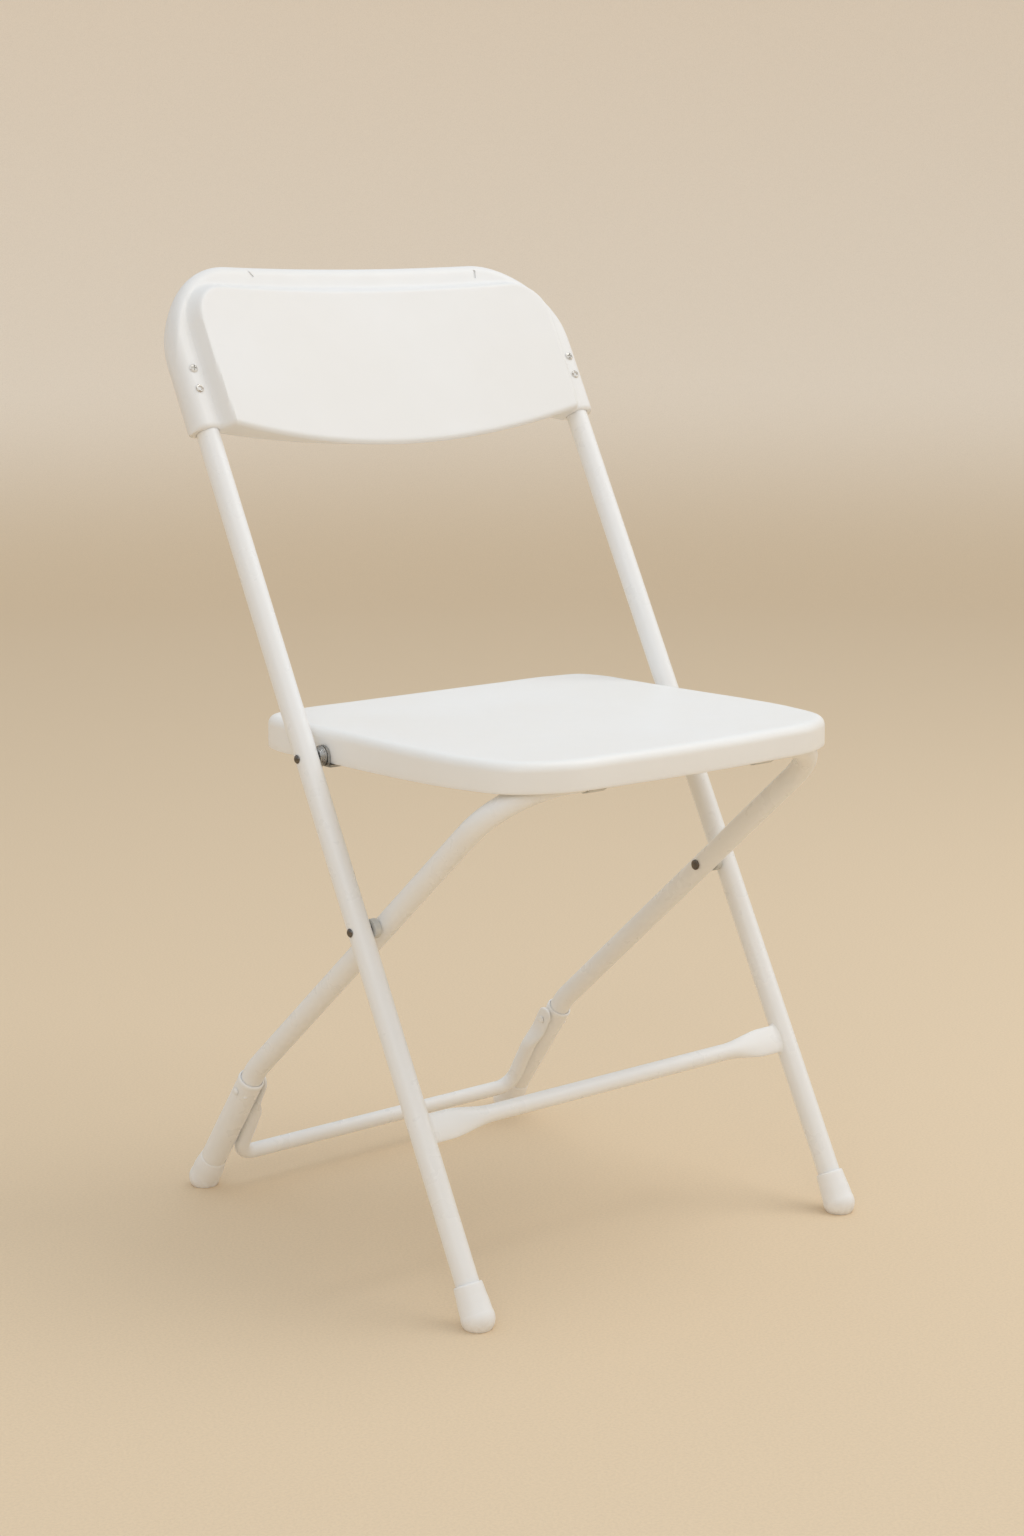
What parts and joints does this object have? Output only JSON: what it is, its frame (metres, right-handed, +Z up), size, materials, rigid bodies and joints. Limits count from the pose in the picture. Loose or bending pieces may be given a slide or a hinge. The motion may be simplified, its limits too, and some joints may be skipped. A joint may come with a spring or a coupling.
{
  "type": "folding chair",
  "caption": "Folding chair with a white tube frame, straight uprights carrying a moulded backrest, and a moulded seat that folds up between them as the rear legs close.",
  "frame": {"origin": "on the floor, under the centre of the open chair's box", "axes": "+Z up; a sitter faces -Y; +X is to the right of someone looking at the chair from its front"},
  "size_m": [0.431, 0.4589, 0.7971],
  "materials": {
    "painted_tube": "white powder coat, semi-gloss, fine orange peel",
    "backrest_plastic": "white moulded plastic, satin, pad slightly more matt than its ledge",
    "seat_plastic": "white moulded plastic, satin, fine grain",
    "foot_cap": "white moulded cap, satin, scuffed at the sole",
    "rivet_steel": "zinc-plated rivets and screws",
    "pivot_steel": "dull zinc plate on the seat's pivot hardware",
    "nylon": "off-white nylon"
  },
  "bodies": {
    "front_frame": {"backrest": "backrest_plastic", "backrest_rivet_left": "rivet_steel", "backrest_rivet_right": "rivet_steel", "backrest_screw_left": "rivet_steel", "backrest_screw_right": "rivet_steel", "front_foot_left": "foot_cap", "front_foot_right": "foot_cap", "front_stretcher": "painted_tube", "leg_pivot_rivet_left": "rivet_steel", "leg_pivot_rivet_right": "rivet_steel", "leg_pivot_spacer_left": "nylon", "leg_pivot_spacer_right": "nylon", "seat_pivot_bolt_left": "pivot_steel", "seat_pivot_bolt_right": "pivot_steel", "seat_pivot_nut_left": "pivot_steel", "seat_pivot_nut_right": "pivot_steel", "seat_pivot_spacer_left": "pivot_steel", "seat_pivot_spacer_right": "pivot_steel", "upright_left": "painted_tube", "upright_right": "painted_tube"},
    "rear_frame": {"bar_glide_left": "nylon", "bar_glide_right": "nylon", "brace_rivet_left": "painted_tube", "brace_rivet_right": "painted_tube", "rear_brace": "painted_tube", "rear_foot_left": "foot_cap", "rear_foot_right": "foot_cap", "rear_leg_frame": "painted_tube", "rear_leg_sleeve_left": "painted_tube", "rear_leg_sleeve_right": "painted_tube"},
    "seat_assembly": {"bar_guide_left": "nylon", "bar_guide_right": "nylon", "bracket_screw_front_left": "rivet_steel", "bracket_screw_front_right": "rivet_steel", "bracket_screw_rear_left": "rivet_steel", "bracket_screw_rear_right": "rivet_steel", "guide_screw_front_left": "rivet_steel", "guide_screw_front_right": "rivet_steel", "guide_screw_rear_left": "rivet_steel", "guide_screw_rear_right": "rivet_steel", "seat": "seat_plastic", "seat_bracket_left": "pivot_steel", "seat_bracket_right": "pivot_steel"}
  },
  "joints": [
    {"name": "rear_frame_fold", "type": "hinge", "parent": "front_frame", "child": "rear_frame", "pos_m": [0, -0.05276, 0.28472], "axis": [-1, 0, 0], "range_deg": [0, 68.3]},
    {"name": "seat_fold", "type": "hinge", "parent": "front_frame", "child": "seat_assembly", "pos_m": [0, 0.0141, 0.41372], "axis": [-1, 0, 0], "range_deg": [0, 111]}
  ],
  "couplings": [
    {"joint": "seat_fold", "follows": "rear_frame_fold", "ratio": 1.625}
  ]
}
